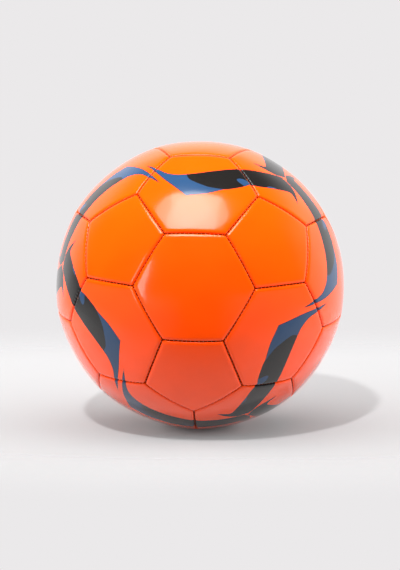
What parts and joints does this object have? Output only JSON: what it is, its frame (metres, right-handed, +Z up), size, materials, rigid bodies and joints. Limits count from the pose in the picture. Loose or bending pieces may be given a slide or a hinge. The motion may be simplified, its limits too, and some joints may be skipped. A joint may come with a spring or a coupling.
{
  "type": "stitched football",
  "caption": "Round inflatable ball with hexagon and pentagon panels sewn edge to edge over foam, cloth and a rubber bladder with an inflation valve.",
  "frame": {"origin": "the ball's centre", "axes": "+Z up as the ball rests, -Y towards the viewer and close to the front hexagon's axis, +X to the viewer's right"},
  "size_m": [0.2202, 0.219, 0.2196],
  "materials": {
    "printed_panel_skin": "smooth glossy printed PVC",
    "foam_pad": "fine closed-cell foam",
    "cloth_lining": "woven polyester and cotton, laminated",
    "waxed_thread": "waxed, twisted",
    "bladder_rubber": "smooth butyl",
    "valve_rubber": "moulded, satin",
    "core_rubber": "moulded, matte"
  },
  "bodies": {
    "ball": {"hexagon_panel_01": "printed_panel_skin", "hexagon_panel_02": "printed_panel_skin", "hexagon_panel_03": "printed_panel_skin", "hexagon_panel_04": "printed_panel_skin", "hexagon_panel_05": "printed_panel_skin", "hexagon_panel_06": "printed_panel_skin", "hexagon_panel_07": "printed_panel_skin", "hexagon_panel_08": "printed_panel_skin", "hexagon_panel_09": "printed_panel_skin", "hexagon_panel_10": "printed_panel_skin", "hexagon_panel_11": "printed_panel_skin", "valve_panel": "printed_panel_skin", "hexagon_panel_12": "printed_panel_skin", "hexagon_panel_13": "printed_panel_skin", "hexagon_panel_14": "printed_panel_skin", "hexagon_panel_15": "printed_panel_skin", "hexagon_panel_16": "printed_panel_skin", "hexagon_panel_17": "printed_panel_skin", "hexagon_panel_18": "printed_panel_skin", "hexagon_panel_19": "printed_panel_skin", "pentagon_panel_01": "printed_panel_skin", "pentagon_panel_02": "printed_panel_skin", "pentagon_panel_03": "printed_panel_skin", "pentagon_panel_04": "printed_panel_skin", "pentagon_panel_05": "printed_panel_skin", "pentagon_panel_06": "printed_panel_skin", "pentagon_panel_07": "printed_panel_skin", "pentagon_panel_08": "printed_panel_skin", "pentagon_panel_09": "printed_panel_skin", "pentagon_panel_10": "printed_panel_skin", "pentagon_panel_11": "printed_panel_skin", "pentagon_panel_12": "printed_panel_skin", "hexagon_foam_pads": "foam_pad", "pentagon_foam_pads": "foam_pad", "hexagon_linings": "cloth_lining", "pentagon_linings": "cloth_lining", "hexagon_seam_threads": "waxed_thread", "pentagon_seam_threads": "waxed_thread", "bladder": "bladder_rubber", "valve_housing": "valve_rubber"},
    "valve_core": {"valve_core": "core_rubber"}
  },
  "joints": [
    {"name": "valve_core_slide", "type": "slide", "parent": "ball", "child": "valve_core", "axis": [-0.3236, 0.4524, 0.831], "range_m": [0, 0.022]}
  ]
}
